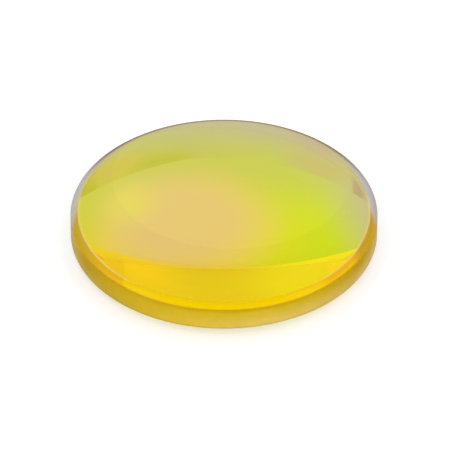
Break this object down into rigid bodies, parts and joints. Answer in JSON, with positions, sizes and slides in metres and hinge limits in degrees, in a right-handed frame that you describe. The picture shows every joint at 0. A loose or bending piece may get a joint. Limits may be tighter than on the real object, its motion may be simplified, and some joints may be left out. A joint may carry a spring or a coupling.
{
  "type": "biconvex lens",
  "caption": "Round biconvex infrared lens of clear golden yellow crystal, with coated polished faces and a bevelled, fine-ground edge.",
  "frame": {"origin": "middle of the lens: on the optical axis, halfway between the two faces' vertices", "axes": "+Z along the optical axis, up out of one face; the lens is round about Z and the same upside down"},
  "size_m": [0.0254, 0.0254, 0.0036],
  "materials": {
    "coated_crystal": "clear golden yellow crystal, polished faces with an anti-reflection coating tinted pink and green, fine-ground edge and bevels"
  },
  "bodies": {
    "root": {"lens": "coated_crystal"}
  },
  "joints": []
}
